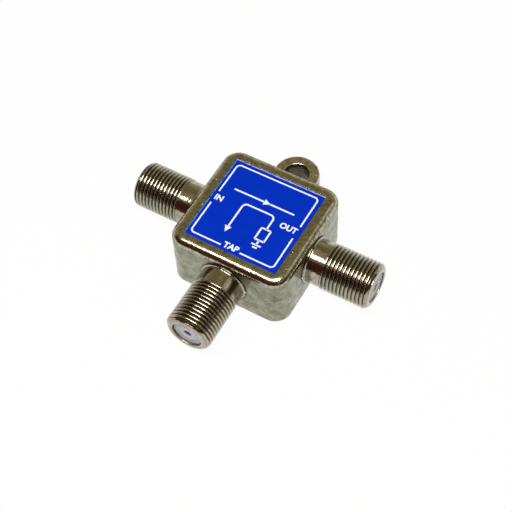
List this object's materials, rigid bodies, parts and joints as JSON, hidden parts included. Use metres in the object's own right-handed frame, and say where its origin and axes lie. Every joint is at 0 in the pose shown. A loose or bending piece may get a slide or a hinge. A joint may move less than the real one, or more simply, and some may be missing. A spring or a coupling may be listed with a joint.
{
  "type": "rf tapper",
  "caption": "Square cast box for a coaxial line: threaded input, output and tap ports on its sides, a screw ear, a blue label and a soldered back plate.",
  "frame": {"origin": "centre of the back face's plane, which the part rests on", "axes": "+X out of the output port, -X out of the input port, -Y out of the tap port, +Y towards the screw ear, +Z out of the label face"},
  "size_m": [0.0524, 0.0472, 0.0133],
  "materials": {
    "nickel_casting": "bright nickel plate over a slightly rough casting",
    "label_print": "printed, satin gloss",
    "tin_plate": "tinned sheet",
    "solder": "set solder",
    "insulator_plastic": "translucent white",
    "contact_bronze": "sprung bronze sheet",
    "board_laminate": "lacquered glass laminate",
    "ferrite": "matt sintered",
    "winding_red": "enamelled copper wire",
    "winding_green": "enamelled copper wire",
    "resistor_body": "dipped lacquer",
    "capacitor_body": "dipped lacquer",
    "bare_copper": "bare drawn wire"
  },
  "bodies": {
    "root": {"housing": "nickel_casting", "label_plate": "label_print", "back_cover": "tin_plate", "cover_solder": "solder", "in_insulator": "insulator_plastic", "out_insulator": "insulator_plastic", "tap_insulator": "insulator_plastic", "in_contact": "contact_bronze", "out_contact": "contact_bronze", "tap_contact": "contact_bronze", "circuit_board": "board_laminate", "series_core": "ferrite", "series_winding": "winding_red", "shunt_core": "ferrite", "shunt_winding": "winding_green", "termination_resistor": "resistor_body", "line_capacitor": "capacitor_body", "tap_capacitor": "capacitor_body", "matching_coil": "bare_copper", "lead_solder": "solder", "ground_solder": "solder"}
  },
  "joints": []
}
